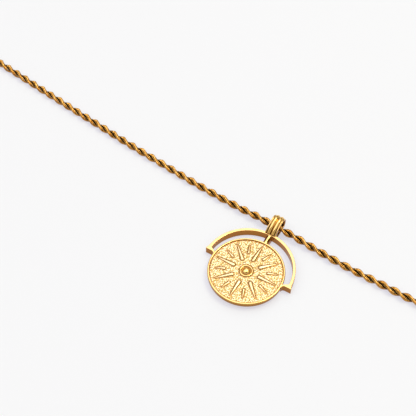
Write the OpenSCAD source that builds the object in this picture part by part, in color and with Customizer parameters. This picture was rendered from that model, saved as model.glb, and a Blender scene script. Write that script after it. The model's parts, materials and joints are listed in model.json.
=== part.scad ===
// Compass pendant on a rope chain, lying face up on a table. All sizes are in millimetres.
// The origin is the centre of the medallion's back, +Y points to the bail and +Z is up.

/* [Medallion] */
// Diameter of the medallion
medallion_d = 22; // [20:0.5:24]
// Thickness of the medallion from its back to the top of its rim
medallion_t = 1.5; // [1.2:0.1:2.2]
// Width of the raised rim's flat top
rim_w = 0.45; // [0.3:0.05:0.8]
// Height of the rim above the grained field
rim_h = 0.35; // [0.2:0.05:0.5]
// Width of the slope from the rim down to the field
rim_slope_w = 0.2; // [0.1:0.05:0.4]
// Chamfer round the medallion's outer edges
edge_chamfer = 0.15; // [0.05:0.05:0.3]

/* [Rays] */
// Number of long rays, with as many short ones between them
long_rays = 8; // [4:1:12]
// Distance from the centre to a long ray's blunt end
long_ray_start = 3.55; // [3:0.05:4.5]
// Length of a long ray
long_ray_len = 5.8; // [4:0.1:6.2]
// Width of a long ray at its blunt end
long_ray_w = 1.15; // [0.7:0.05:1.5]
// Distance from the centre to a short ray's blunt end
short_ray_start = 5.8; // [5:0.05:6.5]
// Length of a short ray
short_ray_len = 3.1; // [2:0.1:3.6]
// Width of a short ray at its blunt end
short_ray_w = 0.75; // [0.5:0.05:1]
// Width of every ray at its point
ray_tip_w = 0.34; // [0.2:0.02:0.4]
// Height of a ray's blunt end above the field, as a share of half its width
ray_relief = 0.7; // [0.5:0.05:1]

/* [Boss] */
// Outer diameter of the ring round the boss
boss_ring_d = 4; // [3:0.1:5]
// Width of the ring round the boss
boss_ring_w = 0.55; // [0.4:0.05:0.8]
// Diameter of the boss at its foot
boss_d = 2.5; // [1.6:0.1:2.8]
// Height of the boss above the field
boss_h = 0.7; // [0.4:0.05:1]

/* [Arc frame] */
// Radius of the arc's outer edge
arc_r = 13.3; // [13:0.1:14.5]
// Distance of the arc's centre above the medallion's centre
arc_rise = 1.3; // [0.8:0.1:1.5]
// Width of the arc's top face
arc_w = 0.8; // [0.5:0.05:1]
// Depth of the arc, wings and bridge, whose top is level with the medallion's rim
frame_t = 2.5; // [2.2:0.1:3.5]
// Height of the wings' lower edge above the medallion's centre line
wing_y = 0.85; // [0.4:0.05:1.2]
// Width of the strap of a wing
wing_w = 0.7; // [0.5:0.05:1]
// Distance that a wing's tip reaches past the arc
wing_flare = 0.45; // [0.2:0.05:0.6]
// Radius of the hollow between a wing and the medallion
wing_fillet_r = 0.8; // [0.4:0.1:1.2]
// Width of the bridge where it meets the medallion
bridge_w = 1.5; // [1:0.1:1.8]
// Width of the bridge where it meets the arc
bridge_top_w = 1.9; // [1.4:0.1:2.4]

/* [Bail] */
// Outer radius of the bail's round end at its narrow side ribs
bail_r = 2.35; // [2.2:0.05:2.7]
// Outer radius of the bail halfway, where its front swells
bail_swell_r = 1.95; // [1.8:0.05:2.1]
// Wall of the bail
bail_wall = 0.65; // [0.5:0.05:0.75]
// Distance from the arc's top to the centre of the bail's round end
bail_reach = 3.8; // [3.5:0.1:4.6]
// Width of the bail
bail_w = 3.4; // [3:0.1:4]
// Width of each narrow side rib
side_rib_w = 0.4; // [0.3:0.05:0.5]
// Width of each of the two broad middle ribs
middle_rib_w = 1; // [0.8:0.05:1.1]
// Height of the middle ribs above the side ribs
middle_rib_h = 0.3; // [0.1:0.05:0.4]
// Depth of the grooves between the ribs, below the side ribs
groove_d = 0.15; // [0.1:0.05:0.3]

/* [Chain and clasp] */
// Diameter over the rope chain's links
chain_d = 2.4; // [2.2:0.05:2.5]
// Outer diameter of the barrel clasp
clasp_d = 4; // [3.6:0.1:5]
// Length of the barrel clasp
clasp_len = 13; // [11:0.5:16]
// Diameter of the collar at each end of the clasp
collar_d = 3.6; // [3.5:0.1:4]
// Length of each collar
collar_len = 2; // [1.5:0.1:3]
// Depth of the socket that holds each end of the chain
socket_depth = 3; // [2:0.5:4]
// Gap round the chain's end in its socket
socket_gap = 0.15; // [0.1:0.05:0.3]
// Gap between the chain and the wall of the bail that it rests on
chain_gap = 0.2; // [0.15:0.05:0.3]

/* [Hidden] */
$fn = 64;

gold = [0.86, 0.67, 0.33];
deep_gold = [0.78, 0.55, 0.22];

// Heights above the table
medallion_back = frame_t - medallion_t;
field_z = frame_t - rim_h;

// Plan of the frame
medallion_r = medallion_d / 2;
arc_top = arc_rise + arc_r;
frame_inner_r = medallion_r - rim_w;
wing_tip_x = sqrt(arc_r * arc_r - pow(wing_y - arc_rise, 2)) + wing_flare;

// Side view of the bail, as distances along Y and heights above the table
bail_y = arc_top + bail_reach;
bail_z = bail_r;
foot_r = frame_t / 2;
foot_y = arc_top - arc_w / 2;
hole_r = bail_r - bail_wall;
hole_neck_r = hole_r * 0.5;
hole_neck_y = arc_top + bail_wall + hole_neck_r;

// The chain lies on the table and rises over the bail's back wall and into the clasp.
// A flat of its eight sides is down, so its points stand further out than its radius.
CHAIN_SIDES = 8;
CHAIN_STEPS = 2;
chain_r = chain_d / 2;
chain_corner_r = chain_r / cos(180 / CHAIN_SIDES);
chain_in_bail = bail_wall + chain_gap + chain_r;
clasp_z = clasp_d / 2;

// Route of the chain from one end of the clasp to the other: x and y on the table, and the share of
// the way that the chain has risen from the table. The part before BAIL_POINT lies to the left.
CHAIN_ROUTE = [
    [-58, 119.5, 0.3],
    [-71, 113.5, 0],
    [-84, 106.5, 0],
    [-97, 98.5, 0],
    [-110, 89.5, 0],
    [-122, 79, 0],
    [-132, 67, 0],
    [-138, 54, 0],
    [-137, 42.5, 0],
    [-130, 35, 0],
    [-120, 31.5, 0],
    [-109, 29.8, 0],
    [-96, 28, 0],
    [-82, 26.1, 0],
    [-68, 24.3, 0],
    [-54, 22.5, 0],
    [-40, 21, 0],
    [-27, 19.7, 0],
    [-14, 18.7, 0.2],
    [-6, 18.2, 0.8],
    [0, 17.7, 1],
    [6, 17.4, 0.8],
    [14, 16.8, 0.2],
    [23, 16.2, 0],
    [34, 15.9, 0],
    [45, 15.7, 0],
    [56, 16.7, 0],
    [66.5, 21.5, 0],
    [74, 30.5, 0],
    [78, 42, 0],
    [79, 55.5, 0],
    [77, 69.5, 0],
    [72.5, 83, 0],
    [65.5, 96, 0],
    [56, 107.5, 0],
    [44, 117.5, 0],
    [30, 125.5, 0],
    [15, 131.5, 0],
    [-1, 134.5, 0],
    [-18, 133.5, 0],
    [-36, 128.5, 0.3],
];
CLASP_RISE_POINTS = 2;

// The clasp lies midway between the ends of the route, and the chain ends inside its sockets
route_first = CHAIN_ROUTE[0];
route_last = CHAIN_ROUTE[len(CHAIN_ROUTE) - 1];
clasp_x = (route_first.x + route_last.x) / 2;
clasp_y = (route_first.y + route_last.y) / 2;
clasp_turn = atan2(route_last.y - route_first.y, route_last.x - route_first.x);
clasp_half = clasp_len / 2;
chain_end_x = clasp_half - socket_depth + chain_gap;
mouth_x = clasp_half;

// A point on the clasp's axis, at a distance from its middle
function clasp_point(d) = [clasp_x + d * cos(clasp_turn), clasp_y + d * sin(clasp_turn), clasp_z];

// Height of the chain's centre at a point of the route
function chain_z(i) =
    let(near_clasp = i < CLASP_RISE_POINTS || i >= len(CHAIN_ROUTE) - CLASP_RISE_POINTS)
    chain_r + CHAIN_ROUTE[i][2] * ((near_clasp ? clasp_z : chain_in_bail) - chain_r);

chain_points = concat(
    [clasp_point(-chain_end_x), clasp_point(-mouth_x)],
    [for (i = [0 : len(CHAIN_ROUTE) - 1]) [CHAIN_ROUTE[i].x, CHAIN_ROUTE[i].y, chain_z(i)]],
    [clasp_point(mouth_x), clasp_point(chain_end_x)]
);

// A point of the smooth curve through p, at a share t of the way from p[i] to p[i + 1]
function on_curve(p, i, t) =
    let(a = p[max(i - 1, 0)], b = p[i], c = p[i + 1], d = p[min(i + 2, len(p) - 1)])
    b + t * (c - a) / 2 + t * t * (a - 2.5 * b + 2 * c - d / 2) + t * t * t * (1.5 * (b - c) + (d - a) / 2);

function unit(v) = v / norm(v);

// Places a node on the table, whose height is measured from the medallion's back
module on_table() {
    translate([0, 0, -medallion_back])
        children();
}

// Outline round two circles on the X axis of the side view, with straight sides between them
module tapered_link(p1, r1, p2, r2) {
    v = p2 - p1;
    turn = atan2(v.y, v.x);
    spread = acos((r1 - r2) / norm(v));
    side_a = [cos(turn + spread), sin(turn + spread)];
    side_b = [cos(turn - spread), sin(turn - spread)];
    translate(p1)
        circle(r = r1);
    translate(p2)
        circle(r = r2);
    polygon([p1 + r1 * side_a, p2 + r2 * side_a, p2 + r2 * side_b, p1 + r1 * side_b]);
}

// Stands a side view, drawn as Y and height, across the X axis between two places
module across(x1, x2) {
    translate([x1, 0, 0])
        rotate([90, 0, 90])
            linear_extrude(x2 - x1)
                children();
}

module medallion() {
    c = edge_chamfer;
    rotate_extrude()
        polygon([
            [0, medallion_back],
            [medallion_r - c, medallion_back],
            [medallion_r, medallion_back + c],
            [medallion_r, frame_t - c],
            [medallion_r - c, frame_t],
            [medallion_r - rim_w, frame_t],
            [medallion_r - rim_w - rim_slope_w, field_z],
            [0, field_z],
        ]);
}

// One ray along +X: half of a turned teardrop, blunt towards the centre, that leans so that its
// point runs out into the field
module ray(start, length, width) {
    blunt_r = width / 2;
    tip_r = ray_tip_w / 2;
    run = length - blunt_r - tip_r;
    sink = blunt_r * (1 - ray_relief);
    translate([start + blunt_r, 0, field_z - sink])
        rotate([0, 90 - atan(sink / run), 0])
            rotate_extrude()
                intersection() {
                    rotate(90)
                        tapered_link([0, 0], blunt_r, [run, 0], tip_r);
                    translate([0, -width])
                        square([width, length + 2 * width]);
                }
}

module rays() {
    step = 360 / long_rays;
    for (i = [0 : long_rays - 1]) {
        rotate(i * step)
            ray(long_ray_start, long_ray_len, long_ray_w);
        rotate((i + 0.5) * step)
            ray(short_ray_start, short_ray_len, short_ray_w);
    }
}

module boss() {
    ring_r = boss_ring_w / 2;
    foot = boss_d / 2;
    dome_r = (foot * foot + boss_h * boss_h) / (2 * boss_h);
    translate([0, 0, field_z]) {
        rotate_extrude()
            translate([boss_ring_d / 2 - ring_r, 0])
                circle(r = ring_r);
        intersection() {
            translate([0, 0, boss_h - dome_r])
                sphere(r = dome_r);
            translate([0, 0, -medallion_t / 4])
                cylinder(r = foot, h = medallion_t);
        }
    }
}

// Plan of one wing, on the right: a strap from the medallion's rim to the arc's end, whose tip
// flares out past the arc and whose lower edge runs down into the rim in a hollow curve
module wing_outline() {
    strap_top = wing_y + wing_w;
    hollow_x = medallion_r + wing_fillet_r;
    difference() {
        polygon([
            [frame_inner_r - rim_w, wing_y - wing_fillet_r],
            [hollow_x, wing_y - wing_fillet_r],
            [hollow_x, wing_y],
            [wing_tip_x, wing_y],
            [arc_r, strap_top + wing_w],
            [arc_r - arc_w, strap_top + wing_w],
            [arc_r - arc_w, strap_top + wing_flare],
            [medallion_r, strap_top - wing_flare],
            [frame_inner_r - rim_w, strap_top - wing_flare],
        ]);
        translate([hollow_x, wing_y - wing_fillet_r])
            circle(r = wing_fillet_r);
    }
}

// Plan of the arc over the upper half
module arc_outline() {
    reach = arc_r + wing_flare;
    intersection() {
        translate([0, arc_rise])
            difference() {
                circle(r = arc_r);
                circle(r = arc_r - arc_w);
            }
        translate([-reach, wing_y + wing_w])
            square([2 * reach, arc_r + arc_rise]);
    }
}

module bridge_outline() {
    top = arc_top - arc_w / 2;
    polygon([
        [-bridge_w / 2, frame_inner_r - rim_w],
        [bridge_w / 2, frame_inner_r - rim_w],
        [bridge_w / 2, medallion_r],
        [bridge_top_w / 2, top],
        [-bridge_top_w / 2, top],
        [-bridge_w / 2, medallion_r],
    ]);
}

module frame() {
    linear_extrude(frame_t)
        difference() {
            union() {
                arc_outline();
                bridge_outline();
                wing_outline();
                mirror([1, 0])
                    wing_outline();
            }
            circle(r = frame_inner_r);
        }
}

// Side view of the bail, with its outer face raised by a distance. Its front swells between its
// foot and its round end, and its back stays on the table.
module bail_side(rise) {
    swell = [(foot_y + bail_y) / 2, bail_swell_r];
    tapered_link([foot_y, foot_r], foot_r + rise, swell, bail_swell_r + rise);
    tapered_link(swell, bail_swell_r + rise, [bail_y, bail_z], bail_r + rise);
}

// The bail: two broad ribs between two narrow ones, with a groove beside each. Its back lies on the
// table, so the broad ribs are cut flat there, and its foot stays inside the arc's band.
module bail() {
    half = bail_w / 2;
    band = (bail_w / 2 - side_rib_w - middle_rib_w) / 3;
    height = bail_z + bail_r + middle_rib_h;
    foot_start = arc_top - arc_w + edge_chamfer;
    difference() {
        intersection() {
            union() {
                across(-half, half)
                    bail_side(-groove_d);
                across(-half, side_rib_w - half)
                    bail_side(0);
                across(half - side_rib_w, half)
                    bail_side(0);
                across(-band - middle_rib_w, -band)
                    bail_side(middle_rib_h);
                across(band, band + middle_rib_w)
                    bail_side(middle_rib_h);
            }
            translate([-half, foot_start, 0])
                cube([bail_w, bail_y + height - foot_start, height]);
        }
        across(-bail_w, bail_w)
            tapered_link([hole_neck_y, foot_r], hole_neck_r, [bail_y, bail_z], hole_r);
    }
}

// The casting: medallion, rays, boss, arc frame and bail are one piece of metal
module pendant() {
    color(gold)
        on_table() {
            medallion();
            rays();
            boss();
            frame();
            bail();
        }
}

// The rope chain as a tube over its links, swept along the route
module rope_chain() {
    last = len(chain_points) - 1;
    centres = concat(
        [for (i = [0 : last - 1]) for (k = [0 : CHAIN_STEPS - 1]) on_curve(chain_points, i, k / CHAIN_STEPS)],
        [chain_points[last]]
    );
    rings = len(centres);
    points = [
        for (i = [0 : rings - 1])
            let(
                ahead = unit(centres[min(i + 1, rings - 1)] - centres[max(i - 1, 0)]),
                side = unit(cross(ahead, [0, 0, 1])),
                up = cross(side, ahead)
            )
            for (k = [0 : CHAIN_SIDES - 1])
                let(a = 360 * (k + 0.5) / CHAIN_SIDES)
                centres[i] + chain_corner_r * (cos(a) * side + sin(a) * up),
    ];
    walls = [
        for (i = [0 : rings - 2])
            for (k = [0 : CHAIN_SIDES - 1])
                let(a = i * CHAIN_SIDES, b = a + CHAIN_SIDES, n = (k + 1) % CHAIN_SIDES)
                [a + k, b + k, b + n, a + n],
    ];
    ends = [
        [for (k = [0 : CHAIN_SIDES - 1]) k],
        [for (k = [0 : CHAIN_SIDES - 1]) rings * CHAIN_SIDES - 1 - k],
    ];
    color(deep_gold)
        on_table()
            polyhedron(points = points, faces = concat(walls, ends), convexity = 10);
}

// A plain barrel clasp: a turned body with a collar and a blind socket at each end
module clasp() {
    body_half = clasp_half - collar_len;
    body_r = clasp_d / 2;
    collar_r = collar_d / 2;
    socket_r = chain_corner_r + socket_gap;
    socket_end = clasp_half - socket_depth;
    c = edge_chamfer;
    color(gold)
        on_table()
            translate([clasp_x, clasp_y, clasp_z])
                rotate([0, 90, clasp_turn])
                    rotate_extrude()
                        polygon([
                            [0, -socket_end],
                            [socket_r, -socket_end],
                            [socket_r, -clasp_half],
                            [collar_r - c, -clasp_half],
                            [collar_r, c - clasp_half],
                            [collar_r, -body_half],
                            [body_r - c, -body_half],
                            [body_r, c - body_half],
                            [body_r, body_half - c],
                            [body_r - c, body_half],
                            [collar_r, body_half],
                            [collar_r, clasp_half - c],
                            [collar_r - c, clasp_half],
                            [socket_r, clasp_half],
                            [socket_r, socket_end],
                            [0, socket_end],
                        ]);
}

pendant();
rope_chain();
clasp();
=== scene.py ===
# %% [markdown]
# # A compass pendant on a rope chain
#
# The solid model holds three plain nodes: the cast pendant, a tube where the chain lies, and the
# clasp. This script dresses them: it casts the pendant with soft edges and a grained field, lays
# over two and a half thousand rings along the chain's route, and lights it all like a jeweller's
# photo.

# %% Load the solid model
import json
import math
import bpy
import numpy as np
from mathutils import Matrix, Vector

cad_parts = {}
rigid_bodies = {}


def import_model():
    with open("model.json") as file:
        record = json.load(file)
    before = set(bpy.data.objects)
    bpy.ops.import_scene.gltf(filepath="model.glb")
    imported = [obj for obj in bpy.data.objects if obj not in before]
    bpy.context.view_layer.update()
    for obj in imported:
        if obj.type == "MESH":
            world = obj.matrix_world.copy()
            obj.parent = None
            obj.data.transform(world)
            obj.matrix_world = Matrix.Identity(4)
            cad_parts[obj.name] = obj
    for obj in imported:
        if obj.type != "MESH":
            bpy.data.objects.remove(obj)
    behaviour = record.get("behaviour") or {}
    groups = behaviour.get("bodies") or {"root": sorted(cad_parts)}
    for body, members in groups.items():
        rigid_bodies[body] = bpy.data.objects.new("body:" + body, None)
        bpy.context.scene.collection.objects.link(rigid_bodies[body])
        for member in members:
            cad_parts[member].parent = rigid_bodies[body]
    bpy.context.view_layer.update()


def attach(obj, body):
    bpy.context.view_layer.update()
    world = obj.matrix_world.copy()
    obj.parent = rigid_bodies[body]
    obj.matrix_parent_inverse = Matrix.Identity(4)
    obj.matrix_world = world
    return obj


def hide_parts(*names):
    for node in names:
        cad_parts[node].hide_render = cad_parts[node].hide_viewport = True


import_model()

# %% [markdown]
# ## Where things are
#
# Everything is in metres, but a pendant is easier to think about in millimetres, so the sizes below
# are in millimetres and are multiplied by MM when they are used. The origin is the centre of the
# medallion's back. The frame round the medallion is deeper than the medallion, so the table lies
# 1 mm below the origin.

# %% Shared sizes
MM = 0.001
TABLE = -1.0
FIELD = 1.15
MEDALLION_R = 11.0
print("heights in mm: table", TABLE, "and field", FIELD)

# %% [markdown]
# ## The camera
#
# The photo looks down at the table at a little over 50 degrees, with the medallion turned 30 degrees
# to the left. The lens is a portrait length, which keeps the far side of the ring almost as wide as
# the near side. The place and the lens were found by fitting the medallion's two outlines.

# %% Set up the camera
CAMERA_PLACE = (65.162, -131.845, 236.228)
CAMERA_ELEVATION = 54.37
CAMERA_AZIMUTH = 30.5
CAMERA_LENS = 84.98
CAMERA_SENSOR = 36
CAMERA_NEAR = 10

bpy.ops.object.camera_add(
    location=[v * MM for v in CAMERA_PLACE],
    rotation=(math.radians(90 - CAMERA_ELEVATION), 0, math.radians(CAMERA_AZIMUTH)),
)
camera = bpy.context.object
camera.name = "camera"
camera.data.lens = CAMERA_LENS
camera.data.sensor_width = CAMERA_SENSOR
camera.data.clip_start = CAMERA_NEAR * MM
bpy.context.scene.camera = camera
print("camera's distance in mm:", round(Vector(CAMERA_PLACE).length))

# %% [markdown]
# ## The table
#
# The pendant lies on white paper. The paper also glows a little by itself, as a bright background
# does in a shop's photo, and that keeps the shadows pale. The plane is wide, so that its far edge
# stays out of sight when the camera goes low.

# %% Lay the table
TABLE_SIZE_M = 12
PAPER_COLOUR = (0.302, 0.309, 0.211, 1)
PAPER_GLOW = (0.575, 0.562, 0.630, 1)
PAPER_ROUGH = 0.9
PAPER_GLOSS = 0.1

bpy.ops.mesh.primitive_plane_add(size=TABLE_SIZE_M, location=(0, 0, TABLE * MM))
table = bpy.context.object
table.name = "table"
bpy.ops.object.transform_apply(location=True)
paper = bpy.data.materials.new("white_paper")
paper.use_nodes = True
paper_sockets = paper.node_tree.nodes["Principled BSDF"].inputs
paper_sockets["Base Color"].default_value = PAPER_COLOUR
paper_sockets["Emission Color"].default_value = PAPER_GLOW
paper_sockets["Emission Strength"].default_value = 1
paper_sockets["Roughness"].default_value = PAPER_ROUGH
paper_sockets["Specular IOR Level"].default_value = PAPER_GLOSS
table.data.materials.append(paper)
print("table of", TABLE_SIZE_M, "m laid")

# %% [markdown]
# ## Shader maths
#
# A material is a graph of nodes. Written out by hand, even a short formula takes a page of links, so
# a small class wraps a node's output and gives it the signs of arithmetic. The expression 1 - mask
# then adds its own Math node.

# %% A class for shader maths


class Value:
    """One output of a node, on which arithmetic adds Math nodes."""

    def __init__(self, tree, socket):
        self.tree = tree
        self.socket = socket

    def math(self, operation, *terms):
        return build(self.tree, "ShaderNodeMath", dict(operation=operation), dict(enumerate(terms)))

    def __add__(self, other):
        return self.math("ADD", self, other)

    def __radd__(self, other):
        return self.math("ADD", other, self)

    def __sub__(self, other):
        return self.math("SUBTRACT", self, other)

    def __rsub__(self, other):
        return self.math("SUBTRACT", other, self)

    def __mul__(self, other):
        return self.math("MULTIPLY", self, other)

    def __rmul__(self, other):
        return self.math("MULTIPLY", other, self)

    def between(self, low, high):
        """A smooth step from 0 to 1, which falls instead where low is above high."""
        settings = dict(interpolation_type="SMOOTHSTEP")
        inputs = {"Value": self, "From Min": low, "From Max": high}
        return build(self.tree, "ShaderNodeMapRange", settings, inputs)


def connect(tree, value, socket):
    if isinstance(value, Value):
        tree.links.new(value.socket, socket)
    else:
        socket.default_value = value


def build(tree, kind, settings=None, inputs=None, output=0):
    """Adds one node: its settings first, then the values or links of its sockets."""
    node = tree.nodes.new(kind)
    for name, value in (settings or {}).items():
        setattr(node, name, value)
    for name, value in (inputs or {}).items():
        connect(tree, value, node.inputs[name])
    return Value(tree, node.outputs[output])


def mix(tree, amount, first, second):
    """Mixes two colours."""
    settings = dict(data_type="RGBA", clamp_factor=True)
    return build(tree, "ShaderNodeMix", settings, {0: amount, 6: first, 7: second}, output=2)


def dot(tree, way, direction):
    """How far one direction points along another."""
    settings = dict(operation="DOT_PRODUCT")
    return build(tree, "ShaderNodeVectorMath", settings, {0: way, 1: tuple(direction)}, "Value")


# %% [markdown]
# ## The light of the room
#
# Gold is a mirror, and what it mirrors matters more than the lamps. The world's colour depends only
# on the direction in which a ray leaves, and dot products tell how far a ray points up, ahead, aside
# or towards the camera. The room is bright overhead and dark near the horizon, which gives pale tops
# and brown walls. A long, cool panel hangs over the pendant, in line with it, and draws the cream
# lines along its edges. The room is dark where the camera stands, as it is in a real studio.
#
# One large soft lamp stands high behind the pendant and to the right, so the shadows fall softly
# towards the lower left.

# %% Light the room
ROOM_BRIGHT = (0.66, 0.63, 0.64, 1)
ROOM_DARK = (0.05, 0.045, 0.05, 1)
SKY_EDGE = (0.12, 0.50)
CAMERA_EDGE = (0.945, 0.98)
CAMERA_SHADE = 0.03
PANEL_BRIGHT = (2.0, 2.1, 3.1, 1)
PANEL_X = -0.234
PANEL_SIDE_EDGE = (0.34, 0.17)
PANEL_NEAR_EDGE = (-0.52, -0.36)
PANEL_FAR_EDGE = (0.90, 0.72)
PANEL_FLARE = 0.5
PANEL_FLARE_EDGE = (0.25, -0.1)


def light_room():
    world = bpy.data.worlds.new("studio")
    bpy.context.scene.world = world
    world.use_nodes = True
    tree = world.node_tree
    way = build(tree, "ShaderNodeTexCoord", output="Generated")
    open_sky = dot(tree, way, (0, 0, 1)).between(*SKY_EDGE)
    at_camera = dot(tree, way, Vector(CAMERA_PLACE).normalized()).between(*CAMERA_EDGE)
    room = mix(tree, open_sky * (1 - (1 - CAMERA_SHADE) * at_camera), ROOM_DARK, ROOM_BRIGHT)
    aside = dot(tree, way, (1, 0, 0)) - PANEL_X
    ahead = dot(tree, way, (0, 1, 0))
    narrowing = 1 - PANEL_FLARE * ahead.between(*PANEL_FLARE_EDGE)
    across = (aside.math("ABSOLUTE", aside) * narrowing).between(*PANEL_SIDE_EDGE)
    panel = across * ahead.between(*PANEL_NEAR_EDGE) * ahead.between(*PANEL_FAR_EDGE) * (1 - at_camera)
    colour = mix(tree, panel * open_sky, room, PANEL_BRIGHT)
    connect(tree, colour, tree.nodes["Background"].inputs["Color"])


light_room()

# %% Hang the lamp
LAMP_PLACE = (300, 400, 1080)
LAMP_AIM = (0, 20, 0)
LAMP_SIZE = 440
LAMP_POWER = 5.0
LAMP_COLOUR = (1.0, 1.0, 0.93)

bpy.ops.object.light_add(type="AREA", location=[v * MM for v in LAMP_PLACE])
lamp = bpy.context.object
lamp.name = "key_lamp"
lamp.data.size = LAMP_SIZE * MM
lamp.data.energy = LAMP_POWER
lamp.data.color = LAMP_COLOUR
towards = Vector([v * MM for v in LAMP_AIM]) - lamp.location
lamp.rotation_euler = towards.to_track_quat("-Z", "Y").to_euler()
bpy.context.scene.view_settings.view_transform = "Standard"
print("lamp's distance in mm:", round(towards.length / MM))

# %% [markdown]
# ## Gold
#
# Plated gold is a metal, so its colour sits in its reflections. One recipe gives the polished and the
# satin gold. Tops are painted lighter and walls and undersides darker, as painted light and shade, so
# the colour follows the way that a face points. A value stored on the mesh paints grooves and the
# feet of forms dark, as painted shade. Polishing leaves faint waves and hairlines, and these come
# from noise that moves the normal a little.

# %% The shared recipe for gold
# Tops take the first two colours, as painted light, and walls take the next two, as painted shade.
TOP_LIT_GOLD = (1.0, 0.62, 0.17, 1)
SATIN_COLOUR = (1.0, 0.74, 0.30, 1)
SHADED_WALL_GOLD = (0.38, 0.145, 0.018, 1)
BODY_WALL_SHADE = (0.36, 0.155, 0.018, 1)
# These two colours paint dark lines of shade at the feet of forms and in grooves.
FOOT_SHADE_GOLD = (0.42, 0.19, 0.03, 1)
DARK_LINE_SHADE = (0.05, 0.018, 0.004, 1)
BLOTCH_SIZE = 2.5
WAVE_SIZE = 0.9
HAIR_SIZE = 0.12
WAVE_HEIGHT = 0.02
POLISHED_ROUGH = 0.20
SATIN_EXTRA_ROUGH = 0.14


def place_on_part(tree):
    return build(tree, "ShaderNodeTexCoord", output="Object")


def noise(tree, place, size, detail=2.0):
    """Noise whose blotches measure about size millimetres."""
    inputs = {"Vector": place, "Scale": 1 / (size * MM), "Detail": detail, "Roughness": 0.5}
    return build(tree, "ShaderNodeTexNoise", None, inputs)


def facing_up(tree, low, high):
    """How far a face points up, by its normal."""
    normal = build(tree, "ShaderNodeNewGeometry", output=1)
    return dot(tree, normal, (0, 0, 1)).between(low, high)


def stored(tree, label):
    """A number that was stored for each point of the mesh."""
    return build(tree, "ShaderNodeAttribute", dict(attribute_name=label), None, "Fac")


def new_metal(name):
    material = bpy.data.materials.new(name)
    material.use_nodes = True
    shader = material.node_tree.nodes["Principled BSDF"]
    shader.inputs["Metallic"].default_value = 1
    return material, material.node_tree, shader


def polished_gold(name, top_colour, wall_colour, shade_line_colour, extra_rough=0.0):
    material, tree, shader = new_metal(name)
    place = place_on_part(tree)
    blotch = noise(tree, place, BLOTCH_SIZE)
    hairs = noise(tree, place, HAIR_SIZE, detail=3)
    waves = noise(tree, place, WAVE_SIZE, detail=1)
    # Painted light and shade: the colour runs from the wall colour to the top colour as a face turns
    # up.
    lit_top = facing_up(tree, 0.0, 0.7)
    # A value stored on the mesh paints dark lines of shade, mixed in below.
    painted_shade = stored(tree, "painted_shade")
    clean = mix(tree, lit_top - 0.25 * blotch.between(0.45, 0.75), wall_colour, top_colour)
    base_rough = POLISHED_ROUGH + extra_rough
    rough = base_rough - 0.06 * lit_top + 0.05 * blotch + 0.04 * hairs + 0.2 * painted_shade
    bump = {"Height": waves + 0.08 * hairs, "Strength": 0.35, "Distance": WAVE_HEIGHT * MM}
    connect(tree, mix(tree, painted_shade, clean, shade_line_colour), shader.inputs["Base Color"])
    connect(tree, rough, shader.inputs["Roughness"])
    connect(tree, build(tree, "ShaderNodeBump", None, bump), shader.inputs["Normal"])
    return material


POLISHED_GOLD = polished_gold("polished_gold", TOP_LIT_GOLD, SHADED_WALL_GOLD, DARK_LINE_SHADE)
BODY_GOLD = polished_gold("body_gold", TOP_LIT_GOLD, BODY_WALL_SHADE, DARK_LINE_SHADE)
SATIN_GOLD = polished_gold("satin_gold", SATIN_COLOUR, SHADED_WALL_GOLD, FOOT_SHADE_GOLD, SATIN_EXTRA_ROUGH)
print("finishes:", POLISHED_GOLD.name, BODY_GOLD.name, SATIN_GOLD.name)

# %% [markdown]
# The field round the rays was cast with a pebbled grain and left satin. Smooth cells make the
# pebbles, fine noise roughens them, and the hollows between them are painted a deeper gold, as painted
# shade. A thin clear coat gives the small cold sparks.

# %% The grained field's gold
FIELD_GOLD = (0.79, 0.625, 0.285, 1)
HOLLOW_SHADE_GOLD = (0.50, 0.31, 0.06, 1)
PEBBLE_SIZE = 0.44
PEBBLE_SOFTNESS = 0.2
GRIT_SIZE = 0.22
GRAIN_HEIGHT = 0.13
HOLLOW_EDGE = (-0.22, -0.40)
FIELD_ROUGH = 0.30
FIELD_COAT = 0.35


def grained_gold():
    material, tree, shader = new_metal("grained_gold")
    place = place_on_part(tree)
    cells = {"Vector": place, "Scale": 1 / (PEBBLE_SIZE * MM), "Smoothness": PEBBLE_SOFTNESS}
    pebbles = build(tree, "ShaderNodeTexVoronoi", dict(feature="SMOOTH_F1"), cells, "Distance")
    grain = 0.25 * noise(tree, place, GRIT_SIZE) - 0.9 * pebbles
    hollow = grain.between(*HOLLOW_EDGE)
    # The hollows are painted a deeper gold, as painted shade.
    clean = mix(tree, hollow, FIELD_GOLD, HOLLOW_SHADE_GOLD)
    bump = {"Height": grain, "Strength": 1.0, "Distance": GRAIN_HEIGHT * MM}
    shader.inputs["Coat Weight"].default_value = FIELD_COAT
    # The stored value paints a dark line of shade at the feet of the rays.
    connect(tree, mix(tree, stored(tree, "painted_shade"), clean, FOOT_SHADE_GOLD), shader.inputs["Base Color"])
    connect(tree, FIELD_ROUGH + 0.15 * hollow, shader.inputs["Roughness"])
    connect(tree, build(tree, "ShaderNodeBump", None, bump), shader.inputs["Normal"])
    return material


GRAINED_GOLD = grained_gold()
print("finish:", GRAINED_GOLD.name)

# %% [markdown]
# ## Helpers for modelling
#
# An operator acts on everything that is selected, so each piece starts by clearing the selection.
# A finished piece keeps its place in its mesh and its object at the origin, like the solid nodes.

# %% Small modelling helpers


def clear_selection():
    if bpy.context.mode != "OBJECT":
        bpy.ops.object.mode_set(mode="OBJECT")
    bpy.ops.object.select_all(action="DESELECT")


def select_only(piece):
    clear_selection()
    piece.select_set(True)
    bpy.context.view_layer.objects.active = piece


def settle(name, smooth=40):
    """Names the active piece, puts its place into its mesh and shades it smooth up to an angle."""
    piece = bpy.context.object
    piece.name = name
    bpy.ops.object.transform_apply(location=True, rotation=True, scale=True)
    bpy.ops.object.shade_smooth_by_angle(angle=math.radians(smooth))
    return piece


def apply_modifier(piece, modifier):
    select_only(piece)
    bpy.ops.object.modifier_apply(modifier=modifier.name)


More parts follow.
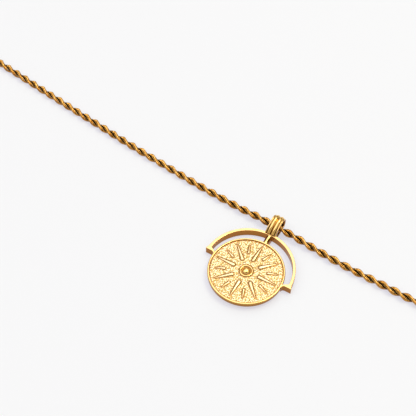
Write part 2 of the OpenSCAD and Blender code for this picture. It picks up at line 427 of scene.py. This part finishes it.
def round_edges(piece, width, segments=3, angle=25):
    bevel = piece.modifiers.new("round_edges", "BEVEL")
    bevel.width = width * MM
    bevel.segments = segments
    bevel.angle_limit = math.radians(angle)
    apply_modifier(piece, bevel)


def join(name, pieces):
    select_only(pieces[0])
    for piece in pieces:
        piece.select_set(True)
    bpy.ops.object.join()
    return settle(name)


def face_outwards():
    """Turns every face of the mesh that is being edited outwards."""
    bpy.ops.mesh.select_all(action="SELECT")
    bpy.ops.mesh.normals_make_consistent(inside=False)
    bpy.ops.object.mode_set(mode="OBJECT")


# %% Helpers that count, read and store


def count(piece):
    """The number of triangles."""
    return sum(len(p.vertices) - 2 for p in piece.data.polygons)


def store(piece, label, values):
    """Keeps one number for each point of the mesh, where a material can read it."""
    attribute = piece.data.attributes.new(label, "FLOAT", "POINT")
    attribute.data.foreach_set("value", np.asarray(values, np.float32))


def points_of(piece):
    """The mesh's points in millimetres."""
    places = np.empty(len(piece.data.vertices) * 3)
    piece.data.vertices.foreach_get("co", places)
    return places.reshape(-1, 3) / MM


def fade(values, low, high):
    """A straight step from 0 to 1, which falls instead where low is above high."""
    return np.clip((values - low) / (high - low), 0, 1)


# %% Helpers that turn, cast and thin


def turned(name, profile, segments):
    """Turns a profile of radius and height round Z: a circle that is pulled out ring by ring."""
    clear_selection()
    radius, height = profile[0]
    place = (0, 0, height * MM)
    bpy.ops.mesh.primitive_circle_add(vertices=segments, radius=radius * MM, location=place)
    bpy.ops.object.transform_apply(location=True)
    bpy.ops.object.mode_set(mode="EDIT")
    bpy.ops.mesh.select_all(action="SELECT")
    bpy.ops.mesh.edge_face_add()
    for next_radius, next_height in profile[1:]:
        rise = (0, 0, (next_height - height) * MM)
        bpy.ops.mesh.extrude_region_move(TRANSFORM_OT_translate={"value": rise})
        ratio = next_radius / radius
        bpy.ops.transform.resize(value=(ratio, ratio, 1), center_override=(0, 0, 0))
        radius, height = next_radius, next_height
    face_outwards()
    return settle(name)


def cast(piece, grain, smoothing):
    """Melts overlapping forms into one skin with soft edges, as a mould does."""
    remesh = piece.modifiers.new("melt", "REMESH")
    remesh.mode = "VOXEL"
    remesh.voxel_size = grain * MM
    apply_modifier(piece, remesh)
    smooth = piece.modifiers.new("soften", "SMOOTH")
    smooth.factor = 0.5
    smooth.iterations = smoothing
    apply_modifier(piece, smooth)
    select_only(piece)
    bpy.ops.object.shade_smooth()
    print(piece.name, "cast with", count(piece), "triangles")


def thin_to(piece, most):
    """Thins a dense skin, so that its file stays small."""
    full = count(piece)
    if full > most:
        thin = piece.modifiers.new("thin", "DECIMATE")
        thin.ratio = most / full
        apply_modifier(piece, thin)


# %% [markdown]
# ## The medallion's body
#
# The body is a disc with a raised, rounded rim. It could be carved from a cylinder, but a turned
# profile gives every edge in one go, and a bevel then rounds them as polishing does.

# %% Turn the body
FIELD_R = 10.36
BODY_PROFILE = [
    (10.8, 0), (MEDALLION_R, 0.16), (MEDALLION_R, 1.34), (10.86, 1.5), (10.52, 1.5),
    (FIELD_R, FIELD), (10.3, 1.0),
]
BODY_EDGE = 0.09

body = turned("medallion_body", BODY_PROFILE, segments=256)
round_edges(body, BODY_EDGE)
body = settle("medallion_body", smooth=60)
body.data.materials.append(BODY_GOLD)
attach(body, "root")
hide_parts("pendant")
print("body:", count(body), "triangles")

# %% [markdown]
# ## The sun on the face
#
# Eight long rays and eight short ones stand up from the field, each a drop that is blunt towards the
# centre and runs out in a point. In the middle a small boss sits in a ring. All of it was cast
# together, so the forms are melted into one skin, which leaves a soft fillet at each foot.

# %% One ray
LONG_RAYS = 8
RAY_STEP = 2 * math.pi / LONG_RAYS
LONG_RAY = dict(start=3.55, length=5.8, width=1.15)
SHORT_RAY = dict(start=5.8, length=3.1, width=0.75)
RAY_TIP = 0.34
RAY_RELIEF = 0.7


def ray_line(start, length, width):
    """Radii of a ray's blunt end and point, and how far out their centres lie."""
    blunt, point = width / 2, RAY_TIP / 2
    return blunt, point, start + blunt, start + length - point


def ray(turn, start, length, width):
    """One drop: two balls and a cone, made upright to the field and then pressed flatter."""
    blunt, point, near, far = ray_line(start, length, width)
    middle = (near + far) / 2
    c, s = math.cos(turn), math.sin(turn)
    made = []
    for away, radius in ((near, blunt), (far, point)):
        clear_selection()
        bpy.ops.mesh.primitive_uv_sphere_add(
            segments=32, ring_count=16, radius=radius * MM,
            location=(away * c * MM, away * s * MM, FIELD * MM))
        made.append(bpy.context.object)
    clear_selection()
    bpy.ops.mesh.primitive_cone_add(
        vertices=48, radius1=blunt * MM, radius2=point * MM, depth=(far - near) * MM,
        location=(middle * c * MM, middle * s * MM, FIELD * MM), rotation=(0, math.pi / 2, turn))
    made.append(bpy.context.object)
    clear_selection()
    for form in made:
        form.select_set(True)
    bpy.ops.object.transform_apply(location=True, rotation=True, scale=True)
    for form in made:
        for vertex in form.data.vertices:
            vertex.co.z = FIELD * MM + (vertex.co.z - FIELD * MM) * RAY_RELIEF
    return made


print("long ray's places in mm:", [round(v, 3) for v in ray_line(**LONG_RAY)])

# %% Raise the rays and the boss
SLAB_R, SLAB_DEPTH = 10.62, 0.4
RING_R, RING_HALF_W = 1.72, 0.28
BOSS_BALL_R, BOSS_BALL_DROP = 1.466, 0.766


def sun_relief():
    clear_selection()
    bpy.ops.mesh.primitive_cylinder_add(
        vertices=192, radius=SLAB_R * MM, depth=SLAB_DEPTH * MM,
        location=(0, 0, (FIELD - SLAB_DEPTH / 2) * MM))
    forms = [bpy.context.object]
    for i in range(LONG_RAYS):
        forms += ray(i * RAY_STEP, **LONG_RAY)
        forms += ray((i + 0.5) * RAY_STEP, **SHORT_RAY)
    clear_selection()
    bpy.ops.mesh.primitive_torus_add(
        major_segments=96, minor_segments=20, major_radius=RING_R * MM,
        minor_radius=RING_HALF_W * MM, location=(0, 0, FIELD * MM))
    forms.append(bpy.context.object)
    clear_selection()
    bpy.ops.mesh.primitive_uv_sphere_add(
        segments=64, ring_count=32, radius=BOSS_BALL_R * MM,
        location=(0, 0, (FIELD - BOSS_BALL_DROP) * MM))
    forms.append(bpy.context.object)
    return join("sun_relief", forms)


relief = sun_relief()
print("relief before casting:", count(relief), "triangles")

# %% [markdown]
# A thin dark line is painted at the foot of each form, as painted shade. The line follows the
# distance to the nearest outline, which is known from the same sizes as the forms.

# %% Shade the feet of the forms
FOOT_LINE = (0.36, 0.10)
FOOT_RISE = (0.25, 0.12)
FOOT_DARK = 0.9
FOOT_OFFSET = 0.05
RING_FEET = (2.05, 1.32)


def away_from_rays(x, y):
    """Distance of points from the nearest ray's outline, negative on a ray."""
    nearest = np.full(len(x), 99.0)
    for i in range(LONG_RAYS):
        for half, kind in ((0, LONG_RAY), (0.5, SHORT_RAY)):
            blunt, point, near, far = ray_line(**kind)
            turn = (i + half) * RAY_STEP
            along = x * math.cos(turn) + y * math.sin(turn)
            aside = -x * math.sin(turn) + y * math.cos(turn)
            share = np.clip((along - near) / (far - near), 0, 1)
            edge = blunt + (point - blunt) * share
            nearest = np.minimum(nearest, np.hypot(along - near - share * (far - near), aside) - edge)
    return nearest


# Painted shade: a dark line round the foot of each ray, the ring and the rim.
def foot_shade(piece):
    x, y, z = points_of(piece).T
    radius = np.hypot(x, y)
    rays = np.abs(away_from_rays(x, y) - FOOT_OFFSET)
    ring = np.minimum(*[np.abs(radius - foot) for foot in RING_FEET])
    gap = np.minimum(np.minimum(rays, ring), np.abs(FIELD_R - radius))
    return FOOT_DARK * fade(gap, *FOOT_LINE) * fade(z, FIELD + FOOT_RISE[0], FIELD + FOOT_RISE[1])


# %% Cast the relief and drop its hidden back
RELIEF_GRAIN, RELIEF_SOFTNESS, RELIEF_MOST = 0.085, 4, 180000
RELIEF_BACK = 0.1


def cut_below(piece, height):
    """Opens the hidden underside of a form that sits in another one, then closes it flat."""
    select_only(piece)
    bpy.ops.object.mode_set(mode="EDIT")
    bpy.ops.mesh.select_all(action="SELECT")
    bpy.ops.mesh.bisect(
        plane_co=(0, 0, height * MM), plane_no=(0, 0, 1), clear_inner=True, use_fill=True)
    bpy.ops.object.mode_set(mode="OBJECT")


cast(relief, RELIEF_GRAIN, RELIEF_SOFTNESS)
cut_below(relief, FIELD - RELIEF_BACK)
thin_to(relief, RELIEF_MOST)
store(relief, "painted_shade", foot_shade(relief))
relief.data.materials.append(GRAINED_GOLD)
relief.data.materials.append(SATIN_GOLD)
relief.data.materials.append(POLISHED_GOLD)
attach(relief, "root")
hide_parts("pendant")
print("relief:", count(relief), "triangles")

# %% [markdown]
# The grain belongs to the field alone. Every face that stands above the field is smooth: the rays
# take the satin gold, and the boss and its ring take the polished gold.

# %% Polish what stands above the field
GRAINED, SATIN, POLISHED = 0, 1, 2
BOSS_REACH = LONG_RAY["start"] - 1
SMOOTH_FROM = 0.07


def polish_high_faces(piece, height):
    mesh = piece.data
    centres = np.empty(len(mesh.polygons) * 3)
    mesh.polygons.foreach_get("center", centres)
    x, y, z = centres.reshape(-1, 3).T / MM
    smooth = np.where(np.hypot(x, y) < BOSS_REACH, POLISHED, SATIN)
    kind = np.where(z > height, smooth, GRAINED)
    mesh.polygons.foreach_set("material_index", kind.astype(np.int32))
    print("polished", int((kind != GRAINED).sum()), "of", len(kind), "faces")


polish_high_faces(relief, FIELD + SMOOTH_FROM)

# %% [markdown]
# ## The arc frame
#
# A band runs round the upper half, ends in two straight wings and is tied to the rim by a short
# bridge. The band is one small upright section spun round the arc's centre. The wings are flat
# outlines that are pulled up to their depth.

# %% Spin the arc
ARC_R, ARC_RISE, ARC_W = 13.3, 1.3, 0.8
ARC_STEPS = 128
ARC_TOP_Y = ARC_RISE + ARC_R
FRAME_TOP = 1.5
WING_Y, WING_W, WING_FLARE = 0.85, 0.7, 0.45


def arc_band():
    """The section is spun from the middle of one side, then the band is turned into its place."""
    clear_selection()
    turn = math.asin((WING_Y + WING_W * 0.5 - ARC_RISE) / ARC_R)
    middle = ARC_R - ARC_W / 2
    bpy.ops.mesh.primitive_plane_add(
        size=1, rotation=(math.pi / 2, 0, 0),
        location=(middle * MM, ARC_RISE * MM, (FRAME_TOP + TABLE) / 2 * MM))
    bpy.context.object.scale = (ARC_W * MM, (FRAME_TOP - TABLE) * MM, 1)
    bpy.ops.object.transform_apply(location=True, rotation=True, scale=True)
    bpy.ops.object.mode_set(mode="EDIT")
    bpy.ops.mesh.select_all(action="SELECT")
    centre = (0, ARC_RISE * MM, 0)
    bpy.ops.mesh.spin(steps=ARC_STEPS, angle=2 * turn - math.pi, axis=(0, 0, 1), center=centre)
    bpy.ops.object.mode_set(mode="OBJECT")
    band = settle("arc_band")
    spun = np.empty(len(band.data.vertices) * 3)
    band.data.vertices.foreach_get("co", spun)
    spun = spun.reshape(-1, 3)
    x, y = spun[:, 0].copy(), spun[:, 1] - centre[1]
    spun[:, 0] = x * math.cos(turn) - y * math.sin(turn)
    spun[:, 1] = x * math.sin(turn) + y * math.cos(turn) + centre[1]
    band.data.vertices.foreach_set("co", spun.ravel())
    return band


# %% Pull up the wings and lay the bridge
WING_INSET = 0.9
FILLET_R = 0.8
BRIDGE_Z = 0.45
BRIDGE_SINK = 0.3
BRIDGE_HALF_W = (0.75, 0.95)


def plate(name, outline, low, high):
    """A flat outline in millimetres, pulled up from one height to another."""
    clear_selection()
    bpy.ops.mesh.primitive_circle_add(vertices=len(outline), radius=MM, fill_type="NGON")
    piece = bpy.context.object
    for vertex, (x, y) in zip(piece.data.vertices, outline):
        vertex.co = (x * MM, y * MM, low * MM)
    bpy.ops.object.mode_set(mode="EDIT")
    bpy.ops.mesh.select_all(action="SELECT")
    rise = (0, 0, (high - low) * MM)
    bpy.ops.mesh.extrude_region_move(TRANSFORM_OT_translate={"value": rise})
    face_outwards()
    return settle(name)


def wing(side):
    """A strap whose lower edge runs down into the rim in a hollow, and whose tip flares out."""
    top = WING_Y + WING_W
    arc_inner = ARC_R - ARC_W
    hollow_x, hollow_y = MEDALLION_R + FILLET_R, WING_Y - FILLET_R
    inner = MEDALLION_R - WING_INSET
    tip = math.sqrt(ARC_R ** 2 - (WING_Y - ARC_RISE) ** 2) + WING_FLARE
    hollow = [
        (hollow_x - FILLET_R * math.cos(a), hollow_y + FILLET_R * math.sin(a))
        for a in np.radians(range(0, 91, 10))
    ]
    outline = [(inner, hollow_y)] + hollow + [
        (tip, WING_Y), (ARC_R, top + WING_W), (arc_inner, top + WING_W),
        (arc_inner, top + WING_FLARE), (MEDALLION_R, top - WING_FLARE), (inner, top - WING_FLARE),
    ]
    return plate("wing", [(side * x, y) for x, y in outline], TABLE, FRAME_TOP)


def bridge():
    """A rounded bar between rim and arc: a cone lying down, with a foot under it."""
    near, far = MEDALLION_R - BRIDGE_SINK, ARC_TOP_Y - BRIDGE_SINK
    low_w, high_w = BRIDGE_HALF_W
    clear_selection()
    bpy.ops.mesh.primitive_cone_add(
        vertices=64, radius1=low_w * MM, radius2=high_w * MM, depth=(far - near) * MM,
        location=(0, (near + far) / 2 * MM, BRIDGE_Z * MM), rotation=(-math.pi / 2, 0, 0))
    bar = bpy.context.object
    foot_outline = [(-low_w, near), (low_w, near), (high_w, far), (-high_w, far)]
    return [bar, plate("foot", foot_outline, TABLE, BRIDGE_Z)]


arc_frame = join("arc_frame", [arc_band(), wing(1), wing(-1)] + bridge())
print("arc frame before casting:", count(arc_frame), "triangles")

# %% [markdown]
# The wings and the bridge reach in under the rim. What would show inside the medallion is cut away
# after casting, so the frame meets the rim's outer wall and stops there. Two dark lines are painted
# along the bridge's shoulders, as painted shade and a painted dark reflection.

# %% Cast the frame and cut it to the rim
FRAME_GRAIN, FRAME_SOFTNESS, FRAME_MOST = 0.07, 8, 150000
RIM_OVERLAP = 0.12
SHOULDER_X = 0.42
SHOULDER_LINE = (0.26, 0.12)
SHOULDER_START = (MEDALLION_R + 0.3, MEDALLION_R + 0.7)
SHOULDER_END = (13.7, 13.4)
SHOULDER_FOOT = (0.3, 0.6)


def cut_out_disc(piece, radius):
    clear_selection()
    bpy.ops.mesh.primitive_cylinder_add(vertices=192, radius=radius * MM, depth=10 * MM)
    cutter = bpy.context.object
    away = piece.modifiers.new("cut", "BOOLEAN")
    away.operation = "DIFFERENCE"
    away.object = cutter
    away.solver = "EXACT"
    apply_modifier(piece, away)
    bpy.data.objects.remove(cutter)


# Painted shade and a painted dark reflection along the bridge's shoulders.
def bridge_shade(piece):
    x, y, z = points_of(piece).T
    line = fade(np.abs(np.abs(x) - SHOULDER_X), *SHOULDER_LINE)
    return line * fade(y, *SHOULDER_START) * fade(y, *SHOULDER_END) * fade(z, *SHOULDER_FOOT)


cast(arc_frame, FRAME_GRAIN, FRAME_SOFTNESS)
cut_out_disc(arc_frame, MEDALLION_R - RIM_OVERLAP)
thin_to(arc_frame, FRAME_MOST)
store(arc_frame, "painted_shade", bridge_shade(arc_frame))
arc_frame.data.materials.append(POLISHED_GOLD)
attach(arc_frame, "root")
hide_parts("pendant")
print("arc frame:", count(arc_frame), "triangles")

# %% [markdown]
# ## The bail
#
# The bail is a long loop seen from the side, with two broad rounded ribs between two narrow ones. A
# flat grid is wrapped round the loop: one way runs round the outline, the other across the width,
# and the ribs are a curve of heights across the width. The grid's second half lines the hole.

# %% The bail's two outlines
BAIL_W = 3.4
BAIL_R, SWELL_R, FOOT_R = 2.35, 1.95, 1.25
HOLE_R, NECK_R = 1.7, 0.85
BAIL_REACH = 3.8
BAIL_WALL = 0.65
BAIL_Y = ARC_TOP_Y + BAIL_REACH
FOOT_Y = ARC_TOP_Y - ARC_W / 2
NECK_Y = ARC_TOP_Y + BAIL_WALL + NECK_R
FOOT_OVERLAP = 0.12
FOOT_CUT = ARC_TOP_Y - ARC_W + FOOT_OVERLAP
OUTER_CIRCLES = [
    (FOOT_Y, FOOT_R, FOOT_R), ((FOOT_Y + BAIL_Y) / 2, SWELL_R, SWELL_R), (BAIL_Y, BAIL_R, BAIL_R),
]
HOLE_CIRCLES = [(NECK_Y, FOOT_R, NECK_R), (BAIL_Y, BAIL_R, HOLE_R)]
AROUND = 180


def loop_outline(circles, soften):
    """Even points round a tight loop about some circles, and the outward direction at each."""
    turns = np.linspace(0, 2 * np.pi, 2880, endpoint=False)
    out = np.column_stack([np.cos(turns), np.sin(turns)])
    centres = np.array([c[:2] for c in circles])
    radii = np.array([c[2] for c in circles])
    furthest = (out @ centres.T + radii).argmax(axis=1)
    loop = centres[furthest] + radii[furthest, None] * out
    loop = np.vstack([loop, loop[:1]])
    run = np.concatenate([[0], np.cumsum(np.linalg.norm(np.diff(loop, axis=0), axis=1))])
    even = np.linspace(0, run[-1], AROUND, endpoint=False)
    points = np.column_stack([np.interp(even, run, loop[:, k]) for k in range(2)])
    for _ in range(soften):
        points = (np.roll(points, 1, axis=0) + 2 * points + np.roll(points, -1, axis=0)) / 4
    way = np.roll(points, -1, axis=0) - np.roll(points, 1, axis=0)
    way /= np.linalg.norm(way, axis=1)[:, None]
    return points, np.column_stack([way[:, 1], -way[:, 0]])


OUTER_LOOP = loop_outline(OUTER_CIRCLES, 24)
HOLE_LOOP = loop_outline(HOLE_CIRCLES, 4)
print("bail's round end is centred", round(BAIL_Y, 2), "mm up the pendant")

# %% Wrap the bail
RIB_PLACES = [0, 0.02, 0.05, 0.10, 0.125, 0.14, 0.155, 0.19, 0.25, 0.315, 0.38, 0.44, 0.475, 0.5]
RIB_HEIGHTS = [
    -0.12, -0.03, 0.02, 0.0, -0.08, -0.16, -0.04, 0.12, 0.25, 0.30, 0.25, 0.12, -0.02, -0.12,
]
LIP_W, LIP_SLOPE = 0.1, 1.2
SKIN_HALF = 68


def bail_place(u, v):
    """Half of the grid's width covers the outside with its ribs, and half lines the hole."""
    k = round(v * AROUND) % AROUND
    if u <= 0.5:
        share = 2 * u
        (y, z), (ny, nz) = OUTER_LOOP[0][k], OUTER_LOOP[1][k]
        rise = float(np.interp(min(share, 1 - share), RIB_PLACES, RIB_HEIGHTS))
    else:
        share = 1 - 2 * (u - 0.5)
        (y, z), (ny, nz) = HOLE_LOOP[0][k], HOLE_LOOP[1][k]
        rise = LIP_SLOPE * max(0, LIP_W - min(share, 1 - share))
    x = (min(max(share, 0.0), 1.0) - 0.5) * BAIL_W
    return x, max(y + rise * ny, FOOT_CUT), max(z + rise * nz, 0) + TABLE


def wrap_bail():
    """A ring's skin closes on itself both ways, so the grid's last row meets its first."""
    across = 2 * SKIN_HALF
    clear_selection()
    bpy.ops.mesh.primitive_grid_add(x_subdivisions=across, y_subdivisions=AROUND, size=1)
    piece = bpy.context.object
    for vertex in piece.data.vertices:
        i = round((vertex.co.x + 0.5) * across) % across
        if i <= SKIN_HALF:
            u = i / across
        else:
            u = 0.5 + (i - SKIN_HALF - 1) / (across - 2)
        x, y, z = bail_place(u, vertex.co.y + 0.5)
        vertex.co = (x * MM, y * MM, z * MM)
    bpy.ops.object.mode_set(mode="EDIT")
    bpy.ops.mesh.select_all(action="SELECT")
    bpy.ops.mesh.remove_doubles(threshold=0.0005 * MM)
    face_outwards()
    return settle("bail")


bail = wrap_bail()
print("bail before casting:", count(bail), "triangles")

# %% [markdown]
# Dark lines are painted into the grooves between the ribs, as painted shade, and they are darkest
# near the bail's foot, as a painted dark reflection.

# %% Cast the bail
BAIL_GRAIN, BAIL_SOFTNESS, BAIL_MOST = 0.055, 3, 150000
GROOVE_LINE = (0.10, -0.06)
GROOVE_MARGIN = 0.25
GROOVE_FOOT = (BAIL_Y - 1.6, BAIL_Y - 2.4)


# Painted shade in the grooves, turning to a painted dark reflection towards the foot.
def groove_shade(piece):
    x, y, _ = points_of(piece).T
    heights = np.interp(0.5 - np.abs(x) / BAIL_W, RIB_PLACES, RIB_HEIGHTS)
    lines = fade(heights, *GROOVE_LINE) * (np.abs(x) < BAIL_W / 2 - GROOVE_MARGIN)
    return lines * (0.5 + 0.5 * fade(y, *GROOVE_FOOT))


cast(bail, BAIL_GRAIN, BAIL_SOFTNESS)
thin_to(bail, BAIL_MOST)
store(bail, "painted_shade", groove_shade(bail))
bail.data.materials.append(POLISHED_GOLD)
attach(bail, "root")
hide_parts("pendant")
print("bail:", count(bail), "triangles")

# %% [markdown]
# ## The rope chain
#
# A rope chain is made of small rings that wind round each other in two rows and are linked through
# each other. Seen from outside, each ring stands across its row. One ring is modelled, and a copy is
# set at each place along the route, with even rings in one row and odd rings in the other. These
# rings stand closer than a jeweller sets them, so neighbours cut into each other instead of being
# linked. It keeps the rows closed, and it would show only in a very close view.
#
# The route repeats the solid model's. Each entry gives a place on the table and the share of the way
# that the chain has risen there, towards the bail or the clasp.

# %% The chain's route
ROUTE = [
    (-58, 119.5, 0.3), (-71, 113.5, 0), (-84, 106.5, 0), (-97, 98.5, 0), (-110, 89.5, 0), (-122, 79, 0),
    (-132, 67, 0), (-138, 54, 0), (-137, 42.5, 0), (-130, 35, 0), (-120, 31.5, 0), (-109, 29.8, 0),
    (-96, 28, 0), (-82, 26.1, 0), (-68, 24.3, 0), (-54, 22.5, 0), (-40, 21, 0), (-27, 19.7, 0),
    (-14, 18.7, 0.2), (-6, 18.2, 0.8), (0, 17.7, 1), (6, 17.4, 0.8), (14, 16.8, 0.2), (23, 16.2, 0),
    (34, 15.9, 0), (45, 15.7, 0), (56, 16.7, 0), (66.5, 21.5, 0), (74, 30.5, 0), (78, 42, 0),
    (79, 55.5, 0), (77, 69.5, 0), (72.5, 83, 0), (65.5, 96, 0), (56, 107.5, 0), (44, 117.5, 0),
    (30, 125.5, 0), (15, 131.5, 0), (-1, 134.5, 0), (-18, 133.5, 0), (-36, 128.5, 0.3),
]
CHAIN_R = 1.2
CHAIN_IN_BAIL = 2.05
CLASP_R = 2.0
CLASP_LEN = 13.0
SOCKET_DEPTH = 3.0
CHAIN_GAP = 0.2


def clasp_frame():
    """The clasp's middle on the table, and its direction."""
    first, last = np.array(ROUTE[0][:2]), np.array(ROUTE[-1][:2])
    way = last - first
    return (first + last) / 2, way / np.linalg.norm(way)


def route_points():
    """The named points with heights, and the two ends that stand in the clasp's sockets."""
    middle, way = clasp_frame()
    points = []
    for i, (x, y, share) in enumerate(ROUTE):
        top = CLASP_R if i < 2 or i >= len(ROUTE) - 2 else CHAIN_IN_BAIL
        points.append((x, y, CHAIN_R + share * (top - CHAIN_R)))
    mouth = CLASP_LEN / 2
    end = mouth - SOCKET_DEPTH + CHAIN_GAP
    lead = [(*(middle + d * way), CLASP_R) for d in (-end, -mouth, mouth, end)]
    return np.array(lead[:2] + points + lead[2:]) + [0, 0, TABLE]


def smooth_route(points, steps=24):
    """A smooth curve through the points."""
    curve = []
    for i in range(len(points) - 1):
        a, b = points[max(i - 1, 0)], points[i]
        c, d = points[i + 1], points[min(i + 2, len(points) - 1)]
        for t in np.arange(steps) / steps:
            slope = t * (c - a) / 2
            bend = t ** 2 * (a - 2.5 * b + 2 * c - d / 2)
            sway = t ** 3 * (1.5 * (b - c) + (d - a) / 2)
            curve.append(b + slope + bend + sway)
    return np.array(curve + [points[-1]])


curve = smooth_route(route_points())
reach = np.concatenate([[0], np.cumsum(np.linalg.norm(np.diff(curve, axis=0), axis=1))])
print("chain's length in mm:", round(float(reach[-1]), 1))

# %% [markdown]
# Each ring leans back against the twist of the rope, and that lean gives a rope chain its row of
# eye-shaped knobs with a slot in the middle of each, which is also painted dark further on, as
# painted shade. The lean varies a little from ring to ring.

# %% Model one ring and set its copies
ROPE_TURN = 7.65
LINK_PITCH = 0.21
WIRE_R = 0.21
RING_LONG, RING_SHORT = 0.47, 0.52
ROW_R = 0.52
LEAN, LEAN_SPREAD = -0.5, 0.1
LEAN_SEED, TONE_SEED = 3, 7
RING_SIDES, WIRE_SIDES = 12, 6


def model_ring():
    """An oval ring's points in metres, and its faces."""
    clear_selection()
    bpy.ops.mesh.primitive_torus_add(
        major_segments=RING_SIDES, minor_segments=WIRE_SIDES,
        major_radius=RING_LONG * MM, minor_radius=WIRE_R * MM)
    ring = bpy.context.object
    points = np.array([v.co for v in ring.data.vertices])
    reach_out = np.hypot(points[:, 0], points[:, 1])
    middle = points[:, :2] / reach_out[:, None] * RING_LONG * MM
    points[:, :2] += middle * [0, RING_SHORT / RING_LONG - 1]
    faces = np.array([p.vertices for p in ring.data.polygons])
    bpy.data.objects.remove(ring)
    return points, faces


def on_route(distances):
    """The route's points at distances from its start."""
    return np.column_stack([np.interp(distances, reach, curve[:, k]) for k in range(3)])


def unit(ways):
    return ways / np.linalg.norm(ways, axis=1)[:, None]


def row_of_rings(name, row):
    points, faces = model_ring()
    start = CHAIN_R * 0.5
    distances = np.arange(start + row * LINK_PITCH, reach[-1] - start, 2 * LINK_PITCH)
    number = len(distances)
    places = on_route(distances)
    way = unit(on_route(distances + 0.2) - on_route(distances - 0.2))
    side = unit(np.cross([0, 0, 1], way))
    up = np.cross(way, side)
    angle = 2 * np.pi * distances / ROPE_TURN + np.pi * row
    out = np.cos(angle)[:, None] * side + np.sin(angle)[:, None] * up
    round_way = -np.sin(angle)[:, None] * side + np.cos(angle)[:, None] * up
    spread = np.random.default_rng(LEAN_SEED + row).uniform(-LEAN_SPREAD, LEAN_SPREAD, number)
    lean = LEAN + spread[:, None]
    normal = np.cos(lean) * way + np.sin(lean) * round_way
    axes = np.stack([out, np.cross(normal, out), normal], axis=1)
    centres = (places + ROW_R * out) * MM
    vertices = np.einsum("vk,nkc->nvc", points, axes) + centres[:, None, :]
    all_faces = (faces[None, :, :] + np.arange(number)[:, None, None] * len(points)).reshape(-1, 4)
    mesh = bpy.data.meshes.new(name)
    mesh.from_pydata(vertices.reshape(-1, 3).tolist(), [], all_faces.tolist())
    piece = bpy.data.objects.new(name, mesh)
    bpy.context.collection.objects.link(piece)
    depth = np.linalg.norm(vertices - (places * MM)[:, None, :], axis=2) / (CHAIN_R * MM)
    tone = np.random.default_rng(TONE_SEED + row).random(number)
    store(piece, "depth", depth.ravel())
    store(piece, "tone", np.repeat(tone, len(points)))
    select_only(piece)
    bpy.ops.object.shade_smooth()
    print(name, "has", number, "rings,", count(piece), "triangles")
    return piece


# %% [markdown]
# The chain's gold is deeper than the pendant's. Its rings are painted bright where they face up and
# darker below, as painted light and shade, and almost black near the middle of the rope, as painted
# shade. Each ring also differs a little in tone from the next. The depth and the tone are stored on
# the mesh.

# %% Finish and lay the chain
LINK_LIGHT = (0.94, 0.53, 0.115, 1)
LINK_DEEP = (0.58, 0.26, 0.03, 1)
# Painted shade for the rings' undersides and for the middle of the rope.
LINK_UNDER_SHADE = (0.30, 0.11, 0.015, 1)
LINK_SLOT_SHADE = (0.02, 0.01, 0.005, 1)
SLOT_EDGE = (0.44, 0.57)
LINK_ROUGH = 0.16
LINK_HAIR_SIZE = 0.1


def chain_gold():
    material, tree, shader = new_metal("chain_gold")
    depth = stored(tree, "depth")
    hairs = noise(tree, place_on_part(tree), LINK_HAIR_SIZE)
    bright = mix(tree, stored(tree, "tone"), LINK_LIGHT, LINK_DEEP)
    # Painted light and shade: rings are lighter where they face up and darker below.
    outside = mix(tree, facing_up(tree, -0.3, 0.6), LINK_UNDER_SHADE, bright)
    # Painted shade: almost black near the middle of the rope.
    colour = mix(tree, depth.between(*SLOT_EDGE), LINK_SLOT_SHADE, outside)
    rough = LINK_ROUGH + 0.10 * hairs + 0.30 * depth.between(*SLOT_EDGE[::-1])
    connect(tree, colour, shader.inputs["Base Color"])
    connect(tree, rough, shader.inputs["Roughness"])
    return material


CHAIN_GOLD = chain_gold()
for row, name in enumerate(("chain_row_a", "chain_row_b")):
    piece = row_of_rings(name, row)
    piece.data.materials.append(CHAIN_GOLD)
    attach(piece, "root")
    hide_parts("rope_chain")

# %% [markdown]
# ## The clasp
#
# The photo doesn't show how the chain closes, so the clasp is a plain barrel: a turned body with a
# collar at each end, into which the chain's ends are fixed.

# %% Turn the clasp
CLASP_PROFILE = [
    (0.02, -3.5), (1.45, -3.5), (1.45, -6.5), (1.65, -6.5), (1.8, -6.35), (1.8, -4.5), (1.86, -4.5),
    (CLASP_R, -4.36), (CLASP_R, -0.14), (1.9, 0), (CLASP_R, 0.14), (CLASP_R, 4.36), (1.86, 4.5),
    (1.8, 4.5), (1.8, 6.35), (1.65, 6.5), (1.45, 6.5), (1.45, 3.5), (0.02, 3.5),
]
CLASP_EDGE = 0.05


def turn_clasp():
    clasp = turned("barrel_clasp", CLASP_PROFILE, segments=96)
    round_edges(clasp, CLASP_EDGE)
    middle, way = clasp_frame()
    clasp.rotation_euler = (0, math.pi / 2, math.atan2(way[1], way[0]))
    clasp.location = (middle[0] * MM, middle[1] * MM, (CLASP_R + TABLE) * MM)
    select_only(clasp)
    return settle("barrel_clasp")


clasp = turn_clasp()
clasp.data.materials.append(POLISHED_GOLD)
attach(clasp, "root")
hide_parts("clasp")
print("clasp:", count(clasp), "triangles")
